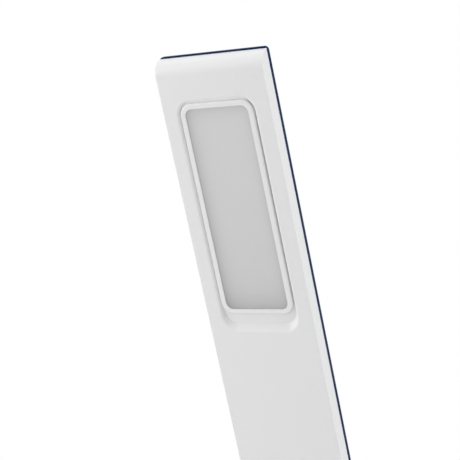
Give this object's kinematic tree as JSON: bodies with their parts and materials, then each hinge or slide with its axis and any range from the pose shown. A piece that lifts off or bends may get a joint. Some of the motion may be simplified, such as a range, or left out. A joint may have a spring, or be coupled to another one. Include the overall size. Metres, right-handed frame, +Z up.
{
  "type": "led table lamp",
  "caption": "Slim bar-shaped table lamp: a flat arm with a framed light panel tilts on a friction hinge at the rear of a weighted base with a push button.",
  "frame": {"origin": "middle of the base's footprint, on the table", "axes": "+Z up, -Y to the front where the arm leans, +X across the lamp"},
  "size_m": [0.12, 0.165, 0.3372],
  "materials": {
    "white_shell": "fine satin moulded white",
    "navy_cover": "satin navy blue",
    "light_panel": "frosted, unlit",
    "white_sheet": "matt white film",
    "board_metal": "white-coated metal board",
    "led_phosphor": "yellow phosphor",
    "steel": "zinc plated",
    "circuit_board": "green solder mask",
    "black_part": "satin black",
    "pale_bush": "natural acetal",
    "lead_jacket": "soft jacket",
    "foot_rubber": "matt rubber"
  },
  "bodies": {
    "base": {"base_top_cover": "white_shell", "base_bottom_cover": "navy_cover", "hinge_bracket": "steel", "hinge_axle": "steel", "friction_washers": "steel", "spring_washers": "steel", "axle_nut": "steel", "hinge_cap_left": "navy_cover", "hinge_cap_right": "navy_cover", "ballast_plate": "steel", "ballast_screws": "steel", "control_board": "circuit_board", "board_parts": "black_part", "board_screws": "steel", "switch_body": "black_part", "power_socket": "black_part", "power_lead": "lead_jacket", "hinge_lead": "lead_jacket", "base_screws": "steel", "base_feet": "foot_rubber"},
    "arm": {"arm_front_shell": "white_shell", "arm_back_cover": "navy_cover", "lens_bezel": "white_shell", "diffuser": "light_panel", "reflector_sheet": "white_sheet", "led_board": "board_metal", "led_chips": "led_phosphor", "led_board_screws": "steel", "arm_stiffener": "steel", "stiffener_screws": "steel", "arm_lead": "lead_jacket", "hinge_bush_left": "pale_bush", "hinge_bush_right": "pale_bush"},
    "button": {"switch_button": "white_shell", "switch_plunger": "pale_bush"}
  },
  "joints": [
    {"name": "arm_tilt", "type": "hinge", "parent": "base", "child": "arm", "pos_m": [0, 0.058, 0.0306], "axis": [1, 0, 0], "range_deg": [-36.87, 68]},
    {"name": "button_press", "type": "slide", "parent": "base", "child": "button", "axis": [0, 0, -1], "range_m": [0, 0.0012], "stiffness_N_per_m": 800}
  ]
}
